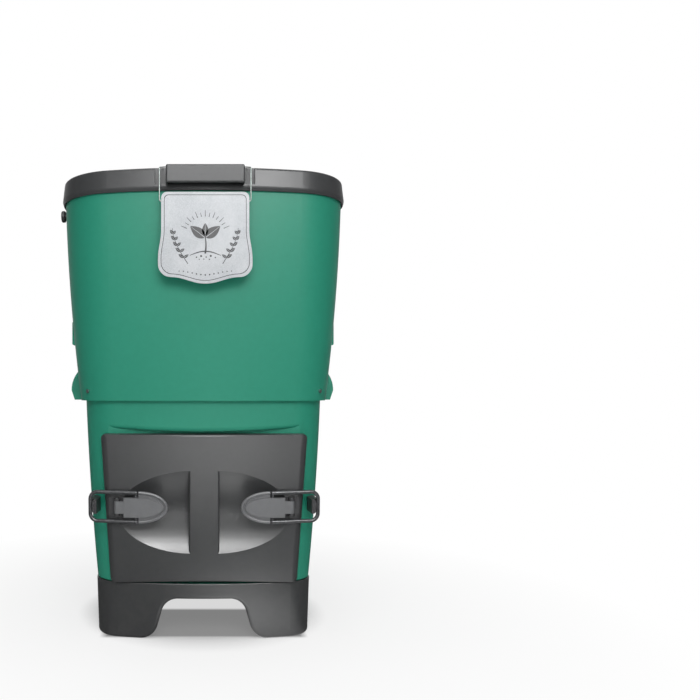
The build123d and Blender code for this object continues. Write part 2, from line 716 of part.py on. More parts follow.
def hinge_leaf(lid):
    """Right-hand leaf on the lid's back edge with the knuckle between the ears."""
    half = HINGE_KNUCKLE / 2
    plate = block((HINGE_X - half, REAR_Y - 3 * LEAF_THICK, LID_EDGE_Z),
                  (HINGE_X + half, REAR_Y + LEAF_THICK, LID_RIM_Z - 2 * LID_ROUND))
    knuckle = rod((HINGE_X - half, HINGE_Y, HINGE_Z), (HINGE_X + half, HINGE_Y, HINGE_Z), HINGE_EAR_RADIUS - CUT)
    web = block((HINGE_X - half, REAR_Y, HINGE_Z - LEAF_THICK), (HINGE_X + half, HINGE_Y, LID_EDGE_Z + LEAF_THICK))
    bore = rod((0, HINGE_Y, HINGE_Z), (PLAN_WIDTH, HINGE_Y, HINGE_Z), HINGE_PIN + RUN_GAP)
    return plate + knuckle + web - lid - bore


def hinge_pins():
    reach = HINGE_KNUCKLE / 2 + HINGE_SIDE_GAP + HINGE_EAR + CUT
    pin = rod((HINGE_X - reach, HINGE_Y, HINGE_Z), (HINGE_X + reach, HINGE_Y, HINGE_Z), HINGE_PIN)
    return pin + mirrored(pin)


def bay(grow):
    back = FRONT_Y + LID_DRAFT + BAY_DEPTH + grow
    half = BAY_WIDTH / 2 + grow
    return block((-half, FRONT_Y - PLAN_DEPTH, BAY_LOW_Z - grow), (half, back, LID_RIM_Z + PLAN_DEPTH))


def lid_crown(grow):
    rim = LID_RIM_Z - grow
    return Solid.make_loft([
        plan_wire(LID_DRAFT + grow, rim),
        plan_wire(LID_DRAFT + grow + CROWN_STEP, rim + CROWN_SHOULDER * LID_CROWN),
        plan_wire(LID_DRAFT + grow + CROWN_REACH, rim + LID_CROWN)])


def lid_hollow(grow):
    """Inside of the skirt and the crown, sunk by grow."""
    low = plan_wire(grow + SKIRT_ROOM, LID_EDGE_Z - grow)
    return Part() + Solid.make_loft([low, plan_wire(LID_DRAFT + grow, LID_RIM_Z - grow)], True) + lid_crown(grow)


def lid_body():
    waist = plan_wire(0, LID_WAIST_Z)
    form = Part() + Solid.make_loft([plan_wire(LID_TUCK, LID_EDGE_Z), waist], True)
    form += Solid.make_loft([waist, plan_wire(LID_DRAFT, LID_RIM_Z)], True)
    form += lid_crown(0)

    def edges_at(z):
        return [edge for edge in form.edges() if abs(edge.center().Z - z) < CUT and edge.length > CUT]

    form = fillet(edges_at(LID_RIM_Z), LID_ROUND)
    return fillet(edges_at(LID_WAIST_Z), LID_TUCK_ROUND) - bay(0)


LID_LINER_Z = BODY_TOP_Z + GAP + LID_SEAL


def lid_uprights(radius, low_z, top_z):
    """One upright cylinder at each screw of the lid."""
    return Part() + [upright(x, y, low_z, top_z, radius) for x, y in LID_SCREWS]


def lid_shell(body):
    boss_low = LID_LINER_Z + LINER + GAP
    hollow = lid_hollow(WALL) - bay(WALL) - lid_uprights(BOSS_RADIUS, boss_low, LID_RIM_Z + 2 * LID_CROWN)
    return body - hollow - lid_uprights(SCREW_SHANK + RUN_GAP, 0, LID_LINER_Z + SCREW_LENGTH)


def lid_screws():
    head_top = LID_LINER_Z - GAP
    shanks = lid_uprights(SCREW_SHANK, head_top, head_top + SCREW_LENGTH)
    return shanks + lid_uprights(SCREW_HEAD, head_top - SCREW_HEAD_HEIGHT, head_top)


def lid_liner():
    plate = prism(WALL + LID_DRAFT + GAP, LID_LINER_Z, LID_LINER_Z + LINER)
    return plate - bay(WALL + GAP) - lid_uprights(SCREW_SHANK + RUN_GAP, 0, LID_RIM_Z)


def lid_insulation():
    low = LID_LINER_Z + LINER + FOAM_GAP
    foam = lid_hollow(WALL + FOAM_GAP) & prism(0, low, LID_RIM_Z + 2 * LID_CROWN)
    return foam - bay(WALL + FOAM_GAP) - lid_uprights(BOSS_RADIUS + FOAM_GAP, 0, LID_RIM_Z + 2 * LID_CROWN)


def lid_seal():
    outer = UPPER_TOP_INSET + STACK - LID_SEAL_WIDTH
    ring = prism(outer, BODY_TOP_Z + GAP, LID_LINER_Z)
    return ring - prism(outer + LID_SEAL_WIDTH, BODY_TOP_Z, LID_LINER_Z + CUT)


def lid_grip():
    back = FRONT_Y + LID_DRAFT + BAY_DEPTH
    half = BLOCK_WIDTH / 2
    shape = block((-half, FRONT_Y - BLOCK_OUT, BLOCK_LOW_Z), (half, back, BLOCK_TOP_Z))
    shape = fillet(shape.faces().sort_by(Axis.Y)[0].edges() + shape.edges().filter_by(Axis.Y).group_by(Axis.Z)[-1],
                   BLOCK_ROUND)
    shape -= block((-half - CUT, FRONT_Y - GAP, BLOCK_LOW_Z - CUT), (half + CUT, back + CUT, BAY_LOW_Z + GAP))
    hollow = block((-half + BLOCK_WALL, FRONT_Y - BLOCK_OUT + BLOCK_WALL, BLOCK_LOW_Z - CUT),
                   (half - BLOCK_WALL, back - BLOCK_WALL, BLOCK_TOP_Z - BLOCK_WALL))
    return shape - hollow


WIRE_Y = FRONT_Y - PLATE_OUT + LUG_RADIUS - CUT


def hang_wire(lid):
    cross_y = FRONT_Y + WIRE_BACK
    crown = lid.find_intersection_points(Axis((0, cross_y, 0), (0, 0, 1)))
    cross_z = max(point.Z for point, _ in crown) + WIRE_RADIUS + GAP
    stub = PLATE_HALF - LUG_LENGTH
    right = [
        (stub, WIRE_Y, WIRE_Z),
        (WIRE_X, WIRE_Y, WIRE_Z),
        (WIRE_X, WIRE_Y, BLOCK_TOP_Z - WIRE_BEND),
        (WIRE_TOP_X, cross_y, cross_z),
    ]
    left = [(-x, y, z) for x, y, z in reversed(right)]
    path = FilletPolyline(*right, *left, radius=WIRE_BEND)
    return swept(path, WIRE_RADIUS)


def sign_plate():
    """Plate with a flared foot and an ogee lower edge, and two lugs on its back for the wire."""
    foot_z = PLATE_LOW_Z + PLATE_POINT
    foot_x = PLATE_FLARE - PLATE_FOOT_ROUND
    top_x = PLATE_HALF - PLATE_CORNER
    slant = math.sqrt(0.5)

    def side(sign):
        flare = (sign * PLATE_FLARE, PLATE_FLARE_Z)
        foot = (sign * PLATE_FLARE, foot_z + PLATE_FOOT_ROUND)
        heel = (sign * foot_x, foot_z)
        return [
            Line((0, PLATE_TOP_Z), (sign * top_x, PLATE_TOP_Z)),
            ThreePointArc(
                (sign * top_x, PLATE_TOP_Z),
                (sign * (top_x + slant * PLATE_CORNER), PLATE_TOP_Z - PLATE_CORNER * (1 - slant)),
                (sign * PLATE_HALF, PLATE_TOP_Z - PLATE_CORNER)),
            Line((sign * PLATE_HALF, PLATE_TOP_Z - PLATE_CORNER), (sign * PLATE_HALF, PLATE_SIDE_Z)),
            Spline((sign * PLATE_HALF, PLATE_SIDE_Z), flare, tangents=[(0, -1), (0, -1)]),
            Line(flare, foot),
            ThreePointArc(
                foot,
                (sign * (foot_x + slant * PLATE_FOOT_ROUND), foot_z + PLATE_FOOT_ROUND * (1 - slant)),
                heel),
            Spline(heel, (0, PLATE_LOW_Z), tangents=[(-sign, 0), (-sign, 0)]),
        ]

    plate = slab(make_face(side(1) + side(-1)), FRONT_Y - PLATE_OUT, FRONT_Y - PLATE_OUT - PLATE_THICK)
    for sign in (-1, 1):
        outer = sign * (PLATE_HALF - CUT)
        inner = sign * (PLATE_HALF - LUG_LENGTH - CUT)
        lug = rod((min(outer, inner), WIRE_Y, WIRE_Z), (max(outer, inner), WIRE_Y, WIRE_Z), LUG_RADIUS)
        plate += lug & block((-PLAN_WIDTH, FRONT_Y - PLATE_OUT, 0), (PLAN_WIDTH, REAR_Y, LID_RIM_Z))
    return plate - rod((-WIRE_X, WIRE_Y, WIRE_Z), (WIRE_X, WIRE_Y, WIRE_Z), WIRE_RADIUS + RUN_GAP)


def scoops(grow):
    """Both hand scoops: ellipsoids of revolution cut off at the upright bar."""
    round_radius = (SCOOP_HALF_HEIGHT ** 2 + SCOOP_DEPTH ** 2) / (2 * SCOOP_DEPTH)
    reach = SCOOP_REACH * round_radius / SCOOP_HALF_HEIGHT
    axis_y = SCOOP_DEPTH - HATCH_FRONT - round_radius
    arc = EllipticalCenterArc((SCOOP_CENTRE_X, axis_y), reach + grow, round_radius + grow, arc_size=180)
    profile = make_face([arc, Line(arc @ 1, arc @ 0)])
    whole = revolve(Plane.XY.offset(SCOOP_Z) * profile, Axis((0, axis_y, SCOOP_Z), (1, 0, 0)))
    edge_x = SCOOP_BAR / 2 - grow
    beside = block((edge_x, -RECESS_REACH, -HATCH_HEIGHT), (PLAN_WIDTH, RECESS_REACH, HATCH_HEIGHT))
    if not grow:
        round_x = edge_x - BAR_ROUND
        round_y = BAR_ROUND - HATCH_FRONT
        beside += block((round_x, -RECESS_REACH, -HATCH_HEIGHT), (edge_x + CUT, round_y, HATCH_HEIGHT))
        beside -= upright(round_x, round_y, -HATCH_HEIGHT, HATCH_HEIGHT, BAR_ROUND)
    side = whole & beside
    return side + mirrored(side)


def hatch_block():
    half = HATCH_HEIGHT / 2
    ends = block((-PLAN_WIDTH, -HATCH_FRONT, -half), (PLAN_WIDTH, HATCH_FRONT, half))
    ends = fillet(ends.edges().filter_by(Axis.X).group_by(Axis.Y)[0], HATCH_EDGE_ROUND)
    return hatch_form_at(0, -CUT, -RECESS_REACH) & ends


PAN_BACK_Y = PLUG_DEPTH - LINER


def hatch_pegs(radius, back_y, front_y):
    """One cylinder at each screw of the hatch, along the way the hatch comes off."""
    return Part() + [slab(Pos(x, z) * Circle(radius), back_y, front_y) for x, z in HATCH_SCREWS]


def hatch_cover(form):
    inner = hatch_form_at(WALL, CUT, -RECESS_REACH)
    behind = block((-PLAN_WIDTH, -HATCH_FRONT / 2, -HATCH_HEIGHT), (PLAN_WIDTH, RECESS_REACH, HATCH_HEIGHT))
    bulges = scoops(WALL) & behind
    bosses = hatch_pegs(BOSS_RADIUS, PAN_BACK_Y - GAP, -RECESS_REACH) & bowed(WALL / 2)
    cover = form + bulges - scoops(0) - (inner - scoops(WALL)) + bosses
    return cover - hatch_pegs(SCREW_SHANK + RUN_GAP, PLUG_DEPTH, PLUG_DEPTH - SCREW_LENGTH)


def hatch_screws():
    seat = PLUG_DEPTH + GAP
    shanks = hatch_pegs(SCREW_SHANK, seat, seat - SCREW_LENGTH)
    return shanks + hatch_pegs(SCREW_HEAD, seat + SCREW_HEAD_HEIGHT, seat)


PLUG_MARGIN = DOOR_MARGIN + PLUG_GAP
PLUG_CORNER = DOOR_CORNER - PLUG_GAP
PAN_FRONT_Y = PAN_FLANGE_Y - LINER


def hatch_pan():
    flange = hatch_form_at(WALL + GAP, PAN_FLANGE_Y, PAN_FRONT_Y)
    plug = slab(hatch_outline(PLUG_MARGIN, PLUG_CORNER), PLUG_DEPTH, PAN_FRONT_Y)
    hollow = slab(hatch_outline(PLUG_MARGIN + LINER, PLUG_CORNER - LINER), PAN_BACK_Y, PAN_FRONT_Y - CUT)
    return flange + plug - hollow - hatch_pegs(SCREW_SHANK + RUN_GAP, PLUG_DEPTH + CUT, 0)


def hatch_insulation():
    front = hatch_form_at(WALL + FOAM_GAP, PAN_FRONT_Y - FOAM_GAP, -RECESS_REACH)
    plug = slab(hatch_outline(PLUG_MARGIN + LINER + FOAM_GAP, PLUG_CORNER - LINER),
                PAN_BACK_Y - FOAM_GAP, PAN_FRONT_Y - CUT)
    pegs = hatch_pegs(BOSS_RADIUS + FOAM_GAP, PLUG_DEPTH, -RECESS_REACH)
    return front + plug - scoops(WALL + FOAM_GAP) - pegs


def hatch_seal():
    outer = slab(hatch_outline(SEAL_MARGIN, HATCH_CORNER), -GAP, PAN_FLANGE_Y)
    return outer - slab(hatch_outline(SEAL_MARGIN + SEAL_WIDTH, DOOR_CORNER), 0, PAN_FLANGE_Y - CUT)


def latch_bracket(form):
    half = KNUCKLE_HALF + EAR_GAP + EAR_THICK
    inside = -HATCH_FRONT / 2
    bracket = block((PIVOT_X - BRACKET_WIDTH / 2, BRACKET_FOOT_Y, LATCH_Z - half),
                    (PIVOT_X + BRACKET_WIDTH / 2, inside, LATCH_Z + half))
    for side in (-1, 1):
        near = LATCH_Z + side * (KNUCKLE_HALF + EAR_GAP)
        far = near + side * EAR_THICK
        low_z = min(near, far)
        high_z = max(near, far)
        bracket += upright(PIVOT_X, PIVOT_Y, low_z, high_z, EAR_RADIUS)
        bracket += block((PIVOT_X - EAR_RADIUS, PIVOT_Y, low_z), (PIVOT_X + EAR_RADIUS, inside, high_z))
    return bracket - form - upright(PIVOT_X, PIVOT_Y, -HATCH_HEIGHT, HATCH_HEIGHT, PIN_RADIUS + RUN_GAP)


def latch_pin():
    reach = KNUCKLE_HALF + EAR_GAP + EAR_THICK + CUT
    return upright(PIVOT_X, PIVOT_Y, LATCH_Z - reach, LATCH_Z + reach, PIN_RADIUS)


def nose_arc(half, tip):
    """Half ellipse of the lever's nose in x and z."""
    return EllipticalCenterArc((NOSE_X, LATCH_Z), NOSE_X - tip, half, start_angle=90, arc_size=180)


def nose_plate(half, tip, back_y, front_y):
    arc = nose_arc(half, tip)
    return slab(make_face([arc, Line(arc @ 1, arc @ 0)]), back_y, front_y)


def latch_lever():
    back = LEVER_FRONT + LEVER_THICK
    heel = block((NOSE_X - CUT, LEVER_FRONT, LATCH_Z - LEVER_HALF), (LEVER_HEEL_X, back, LATCH_Z + LEVER_HALF))
    arm = block((LEVER_HEEL_X - CUT, PIVOT_Y - KNUCKLE_RADIUS, LATCH_Z - KNUCKLE_HALF),
                (PIVOT_X, PIVOT_Y, LATCH_Z + KNUCKLE_HALF))
    knuckle = upright(PIVOT_X, PIVOT_Y, LATCH_Z - KNUCKLE_HALF, LATCH_Z + KNUCKLE_HALF, KNUCKLE_RADIUS)
    flange = nose_plate(BAIL_HALF, LEVER_TIP_X, BAIL_Y + RIM_RADIUS, BAIL_Y)
    face = nose_plate(LEVER_HALF, LEVER_TIP_X + NOSE_MARGIN, back, LEVER_FRONT)
    rim = swept((Plane.XZ.offset(-BAIL_Y) * nose_arc(BAIL_HALF, LEVER_TIP_X)).edge(), RIM_RADIUS)
    lever = heel + arm + knuckle + flange + face + rim
    stub_radius, stub_depth = BAIL_STUB
    for side in (-1, 1):
        deep = LATCH_Z + side * (LEVER_HALF - stub_depth - GAP)
        out = LATCH_Z + side * BAIL_HALF
        lever -= upright(BAIL_X, BAIL_Y, min(deep, out), max(deep, out), stub_radius + RUN_GAP)
    return lever - upright(PIVOT_X, PIVOT_Y, -HATCH_HEIGHT, HATCH_HEIGHT, PIN_RADIUS + RUN_GAP)


def latch_bail():
    end_x, end_y = BAIL_END
    stub_radius, stub_depth = BAIL_STUB
    top = [(BAIL_X, BAIL_Y, LATCH_Z + BAIL_HALF), (end_x, end_y, LATCH_Z + BAIL_HALF)]
    low = [(x, y, 2 * LATCH_Z - z) for x, y, z in reversed(top)]
    bail = swept(FilletPolyline(*top, *low, radius=BAIL_END_BEND), BAIL_WIRE)
    for side in (-1, 1):
        deep = LATCH_Z + side * (LEVER_HALF - stub_depth)
        leg = LATCH_Z + side * BAIL_HALF
        bail += Pos(BAIL_X, BAIL_Y, leg) * Sphere(BAIL_WIRE)
        bail += upright(BAIL_X, BAIL_Y, min(deep, leg), max(deep, leg), stub_radius)
    return bail


def latch_catch(body):
    """Post at the casing's corner: the bail's end lies against its outer face and shoulder."""
    end_x, end_y = BAIL_END
    root_x = PIVOT_X + CATCH_ROOT[0]
    root_y = CATCH_ROOT[1]
    inner_x = PIVOT_X + CATCH_REACH
    face_x = end_x - BAIL_WIRE - CATCH_CLEAR
    front_y = end_y - BAIL_WIRE - CATCH_CLEAR - CATCH_FRONT
    shoulder_y = end_y + BAIL_WIRE + CATCH_CLEAR + CUT
    profile = make_face(Polyline(
        (inner_x, front_y), (face_x, front_y), (face_x, shoulder_y), (end_x, shoulder_y), (root_x, root_y),
        (inner_x - 2 * WALL, root_y), (inner_x - WALL, 0), close=True))
    hook = extrude(Plane.XY.offset(LATCH_Z - CATCH_HALF) * profile, amount=2 * CATCH_HALF)
    outer_edges = [edge for edge in hook.edges().filter_by(Axis.Y) if abs(edge.center().X - face_x) < CUT]
    hook = fillet(outer_edges, CATCH_ROUND)
    return HATCH * hook - body


def save(name, part):
    solids = part.solids()
    export_step(solids[0] if len(solids) == 1 else Compound(children=solids), f"parts/{name}.step")


lower_form = lower_body()
upper_form = upper_body()
lid_outer = lid_body()
hatch_form = hatch_block()

nodes = {
    "base_stand": base_stand(),
    "floor_pan": floor_pan(),
    "drain_cap": drain_cap(),
    "aeration_grate": aeration_grate(),
    "lower_shell": lower_shell(lower_form),
    "lower_insulation": lower_insulation(),
    "lower_liner": lower_liner(),
    "door_frame": door_frame(),
    "upper_shell": upper_shell(upper_form),
    "upper_insulation": upper_insulation(),
    "upper_liner": upper_liner(),
    "seam_screws": seam_screws(),
    "vent_sleeve": vent_sleeve(upper_form),
    "vent_knob": vent_knob(),
    "hinge_bracket_right": hinge_bracket(upper_form),
    "hinge_pins": hinge_pins(),
    "lid_shell": lid_shell(lid_outer),
    "lid_insulation": lid_insulation(),
    "lid_liner": lid_liner(),
    "lid_seal": lid_seal(),
    "lid_screws": lid_screws(),
    "lid_grip": lid_grip(),
    "hinge_leaf_right": hinge_leaf(lid_outer),
    "hang_wire": hang_wire(lid_outer),
    "sign_plate": sign_plate(),
    "hatch_cover": HATCH * hatch_cover(hatch_form),
    "hatch_pan": HATCH * hatch_pan(),
    "hatch_insulation": HATCH * hatch_insulation(),
    "hatch_seal": HATCH * hatch_seal(),
    "hatch_screws": HATCH * hatch_screws(),
    "latch_bracket_right": HATCH * latch_bracket(hatch_form),
    "latch_lever_right": HATCH * latch_lever(),
    "latch_bail_right": HATCH * latch_bail(),
    "latch_catch_right": latch_catch(lower_form),
}
pin = HATCH * latch_pin()
nodes["latch_pins"] = pin + mirrored(pin)

for name in [name for name in nodes if name.endswith("_right")]:
    nodes[name.replace("_right", "_left")] = mirrored(nodes[name])

for name, part in nodes.items():
    save(name, part)
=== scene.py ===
import json
import math
import bpy
import bmesh
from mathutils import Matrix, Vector


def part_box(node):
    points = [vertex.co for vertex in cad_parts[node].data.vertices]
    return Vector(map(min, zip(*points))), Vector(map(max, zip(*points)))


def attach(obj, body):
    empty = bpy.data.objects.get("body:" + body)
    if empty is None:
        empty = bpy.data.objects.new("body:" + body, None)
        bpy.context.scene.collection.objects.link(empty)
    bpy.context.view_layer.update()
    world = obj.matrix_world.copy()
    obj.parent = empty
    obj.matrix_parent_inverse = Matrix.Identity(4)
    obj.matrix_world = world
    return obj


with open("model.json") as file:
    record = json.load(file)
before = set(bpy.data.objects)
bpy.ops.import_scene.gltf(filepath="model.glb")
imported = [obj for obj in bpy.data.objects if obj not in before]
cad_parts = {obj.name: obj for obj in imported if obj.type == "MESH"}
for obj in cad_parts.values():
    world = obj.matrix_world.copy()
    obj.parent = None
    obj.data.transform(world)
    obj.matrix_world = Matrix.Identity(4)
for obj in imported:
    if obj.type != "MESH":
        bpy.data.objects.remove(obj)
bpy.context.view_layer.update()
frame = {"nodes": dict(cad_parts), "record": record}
scene = bpy.context.scene
scene.view_settings.view_transform = "Standard"

# view

viewSettings = {
    "place": (-0.045, -1.9305, 0.582),
    "lens": 37.455,
    "shift": (0.2363, 0.0557),
}


def addCamera(settings):
    camera = bpy.data.cameras.new("photoCamera")
    camera.sensor_width = 36.0
    camera.lens = settings["lens"]
    camera.shift_x, camera.shift_y = settings["shift"]
    camera.clip_end = 60.0
    cameraObject = bpy.data.objects.new("photoCamera", camera)
    scene.collection.objects.link(cameraObject)
    cameraObject.location = settings["place"]
    cameraObject.rotation_euler = (math.radians(90), 0, 0)  # level, looking at the front
    scene.camera = cameraObject


addCamera(viewSettings)
print("camera set")

# shared shader effects


def link(tree, source, target):
    tree.links.new(source, target)


def effectGroup(name, inputs, outputs):
    group = bpy.data.node_groups.new(name, "ShaderNodeTree")
    for label, kind, value in inputs:
        socket = group.interface.new_socket(label, in_out="INPUT", socket_type=kind)
        if value is not None:
            socket.default_value = value
    for label, kind in outputs:
        group.interface.new_socket(label, in_out="OUTPUT", socket_type=kind)
    start = group.nodes.new("NodeGroupInput")
    end = group.nodes.new("NodeGroupOutput")
    return group, start, end


def mathNode(tree, operation, first, second=None, clamp=False):
    node = tree.nodes.new("ShaderNodeMath")
    node.operation = operation
    node.use_clamp = clamp
    for index, value in enumerate((first, second)):
        if value is None:
            continue
        if isinstance(value, (int, float)):
            node.inputs[index].default_value = value
        else:
            link(tree, value, node.inputs[index])
    return node.outputs[0]


def rangeNode(tree, value, low, high, newLow=0.0, newHigh=1.0):
    node = tree.nodes.new("ShaderNodeMapRange")
    link(tree, value, node.inputs["Value"])
    node.inputs["From Min"].default_value = low
    node.inputs["From Max"].default_value = high
    node.inputs["To Min"].default_value = newLow
    node.inputs["To Max"].default_value = newHigh
    return node.outputs["Result"]


def lengthFrom(tree, vector, centre):
    shift = tree.nodes.new("ShaderNodeVectorMath")
    shift.operation = "DISTANCE"
    link(tree, vector, shift.inputs[0])
    shift.inputs[1].default_value = centre
    return shift.outputs["Value"]


def mixColour(tree, factor, first, second):
    node = tree.nodes.new("ShaderNodeMix")
    node.data_type = "RGBA"
    link(tree, factor, node.inputs[0])
    for index, value in ((6, first), (7, second)):
        if isinstance(value, tuple):
            node.inputs[index].default_value = (*value, 1.0)
        else:
            link(tree, value, node.inputs[index])
    return node.outputs[2]


def noiseNode(tree, vector, scale, detail=3.0, roughness=0.55):
    node = tree.nodes.new("ShaderNodeTexNoise")
    link(tree, vector, node.inputs["Vector"])
    if isinstance(scale, (int, float)):
        node.inputs["Scale"].default_value = scale
    else:
        link(tree, scale, node.inputs["Scale"])
    node.inputs["Detail"].default_value = detail
    node.inputs["Roughness"].default_value = roughness
    return node.outputs["Fac"]


def makeMouldGrain():
    # the fine pebbled skin of rotationally moulded plastic
    group, start, end = effectGroup(
        "mouldGrain",
        [("Vector", "NodeSocketVector", None), ("Scale", "NodeSocketFloat", 700.0)],
        [("Height", "NodeSocketFloat"), ("Tone", "NodeSocketFloat")])
    pebble = group.nodes.new("ShaderNodeTexVoronoi")
    link(group, start.outputs["Vector"], pebble.inputs["Vector"])
    link(group, start.outputs["Scale"], pebble.inputs["Scale"])
    fineScale = mathNode(group, "MULTIPLY", start.outputs["Scale"], 1.7)
    fine = noiseNode(group, start.outputs["Vector"], fineScale)
    height = mathNode(group, "ADD", mathNode(group, "MULTIPLY", pebble.outputs["Distance"], 0.6),
                      mathNode(group, "MULTIPLY", fine, 0.5))
    link(group, height, end.inputs["Height"])
    broadScale = mathNode(group, "MULTIPLY", start.outputs["Scale"], 0.12)
    broad = noiseNode(group, start.outputs["Vector"], broadScale, 5.0)
    tone = mathNode(group, "ADD", mathNode(group, "MULTIPLY", broad, 0.6),
                    mathNode(group, "MULTIPLY", fine, 0.4))
    link(group, tone, end.inputs["Tone"])
    return group


def makeGardenDust():
    # pale dust on faces that look up and low on the walls
    group, start, end = effectGroup(
        "gardenDust",
        [("Vector", "NodeSocketVector", None), ("Reach", "NodeSocketFloat", 0.25)],
        [("Mask", "NodeSocketFloat")])
    geometry = group.nodes.new("ShaderNodeNewGeometry")
    normal = group.nodes.new("ShaderNodeSeparateXYZ")
    link(group, geometry.outputs["Normal"], normal.inputs[0])
    place = group.nodes.new("ShaderNodeSeparateXYZ")
    link(group, start.outputs["Vector"], place.inputs[0])
    up = rangeNode(group, normal.outputs["Z"], 0.45, 1.0)
    heightShare = mathNode(group, "DIVIDE", place.outputs["Z"], start.outputs["Reach"])
    lowness = mathNode(group, "SUBTRACT", 1.0, heightShare, clamp=True)
    speck = rangeNode(group, noiseNode(group, start.outputs["Vector"], 38.0, 6.0, 0.65), 0.42, 0.72)
    amount = mathNode(group, "ADD", mathNode(group, "MULTIPLY", up, 0.7),
                      mathNode(group, "MULTIPLY", lowness, 0.5))
    link(group, mathNode(group, "MULTIPLY", amount, speck, clamp=True), end.inputs["Mask"])
    return group


def makeFineScuffs():
    # short hairline rubs from hands and tools
    group, start, end = effectGroup(
        "fineScuffs",
        [("Vector", "NodeSocketVector", None), ("Scale", "NodeSocketFloat", 60.0)],
        [("Mask", "NodeSocketFloat")])
    stretch = group.nodes.new("ShaderNodeVectorMath")
    stretch.operation = "MULTIPLY"
    link(group, start.outputs["Vector"], stretch.inputs[0])
    stretch.inputs[1].default_value = (0.25, 1.0, 3.2)
    lines = noiseNode(group, stretch.outputs[0], start.outputs["Scale"], 6.0, 0.7)
    patches = noiseNode(group, start.outputs["Vector"], 9.0, 2.0)
    mask = mathNode(group, "MULTIPLY", rangeNode(group, lines, 0.56, 0.7),
                    rangeNode(group, patches, 0.5, 0.68))
    link(group, mask, end.inputs["Mask"])
    return group


mouldGrain = makeMouldGrain()
gardenDust = makeGardenDust()
fineScuffs = makeFineScuffs()

# finishes: colours are linear


def srgb(red, green, blue):
    values = []
    for value in (red, green, blue):
        share = value / 255
        values.append(share / 12.92 if share <= 0.04045 else ((share + 0.055) / 1.055) ** 2.4)
    return tuple(values)


dustColour = srgb(176, 170, 156)
grainDepth = 0.0006
finishes = {
    "greenCasing": {"colour": srgb(40, 139, 114), "shade": srgb(36, 134, 109),
                    "roughness": 0.42, "grain": 620.0, "bump": 0.10,
                    "dust": 0.05, "scuffs": 0.08, "specular": 0.25},
    "greyCasing": {"colour": srgb(60, 61, 62), "shade": srgb(55, 56, 57),
                   "roughness": 0.29, "grain": 760.0, "bump": 0.10,
                   "dust": 0.05, "scuffs": 0.10, "specular": 0.62},
    "lidCasing": {"colour": srgb(64, 65, 66), "shade": srgb(59, 60, 61),
                  "roughness": 0.32, "grain": 760.0, "bump": 0.10,
                  "dust": 0.05, "scuffs": 0.10, "specular": 0.27},
    "latchPlastic": {"colour": srgb(106, 107, 109), "shade": srgb(98, 99, 101),
                     "roughness": 0.36, "grain": 900.0, "bump": 0.10,
                     "dust": 0.04, "scuffs": 0.12, "specular": 0.6},
    "darkPlastic": {"colour": srgb(58, 58, 60), "shade": srgb(46, 46, 48),
                    "roughness": 0.42, "grain": 900.0, "bump": 0.10,
                    "dust": 0.08, "scuffs": 0.12, "specular": 0.5},
    "innerPlastic": {"colour": srgb(62, 64, 64), "shade": srgb(48, 50, 50),
                     "roughness": 0.55, "grain": 500.0, "bump": 0.18,
                     "dust": 0.20, "scuffs": 0.20, "specular": 0.5},
}


def bareMaterial(name):
    material = bpy.data.materials.new(name)
    material.use_nodes = True
    tree = material.node_tree
    shader = tree.nodes["Principled BSDF"]
    place = tree.nodes.new("ShaderNodeTexCoord")
    return material, tree, shader, place.outputs["Object"]


def placeGroup(tree, group, vector, **values):
    node = tree.nodes.new("ShaderNodeGroup")
    node.node_tree = group
    link(tree, vector, node.inputs["Vector"])
    for label, value in values.items():
        node.inputs[label].default_value = value
    return node.outputs


def plasticFinish(name):
    settings = finishes[name]
    material, tree, shader, place = bareMaterial(name)
    shader.inputs["Specular IOR Level"].default_value = settings["specular"]
    grain = placeGroup(tree, mouldGrain, place, Scale=settings["grain"])
    dust = placeGroup(tree, gardenDust, place)
    scuffs = placeGroup(tree, fineScuffs, place)
    tone = rangeNode(tree, grain["Tone"], 0.3, 0.7)
    colour = mixColour(tree, tone, settings["shade"], settings["colour"])
    dustShare = mathNode(tree, "MULTIPLY", dust["Mask"], settings["dust"])
    colour = mixColour(tree, dustShare, colour, dustColour)
    link(tree, colour, shader.inputs["Base Color"])
    rough = mathNode(tree, "ADD", settings["roughness"], mathNode(tree, "MULTIPLY", grain["Tone"], 0.10))
    rough = mathNode(tree, "ADD", rough, mathNode(tree, "MULTIPLY", scuffs["Mask"], settings["scuffs"]))
    rough = mathNode(tree, "ADD", rough, dustShare, clamp=True)
    link(tree, rough, shader.inputs["Roughness"])
    bump = tree.nodes.new("ShaderNodeBump")
    bump.inputs["Strength"].default_value = settings["bump"]
    bump.inputs["Distance"].default_value = grainDepth
    link(tree, grain["Height"], bump.inputs["Height"])
    link(tree, bump.outputs["Normal"], shader.inputs["Normal"])
    return material


metals = {
    "brightSteel": {"colour": srgb(196, 198, 200), "shade": srgb(168, 170, 172),
                    "roughness": 0.28, "metallic": 1.0},
    "signWire": {"colour": srgb(150, 160, 156), "shade": srgb(120, 128, 125),
                 "roughness": 0.34, "metallic": 0.55},
    "bailWire": {"colour": srgb(86, 87, 89), "shade": srgb(64, 65, 67),
                 "roughness": 0.30, "metallic": 0.25},
}


def metalFinish(name):
    settings = metals[name]
    material, tree, shader, place = bareMaterial(name)
    shader.inputs["Metallic"].default_value = settings["metallic"]
    scuffs = placeGroup(tree, fineScuffs, place, Scale=240.0)
    tone = rangeNode(tree, noiseNode(tree, place, 160.0, 4.0), 0.35, 0.65)
    link(tree, mixColour(tree, tone, settings["shade"], settings["colour"]), shader.inputs["Base Color"])
    rough = mathNode(tree, "ADD", settings["roughness"], mathNode(tree, "MULTIPLY", scuffs["Mask"], 0.25))
    link(tree, rough, shader.inputs["Roughness"])
    return material


signSettings = {
    "colour": srgb(186, 189, 192), "fleck": srgb(157, 160, 164), "bright": srgb(202, 204, 206),
    "flake": 950.0, "roughness": 0.42, "metallic": 0.08, "specular": 0.18,
}


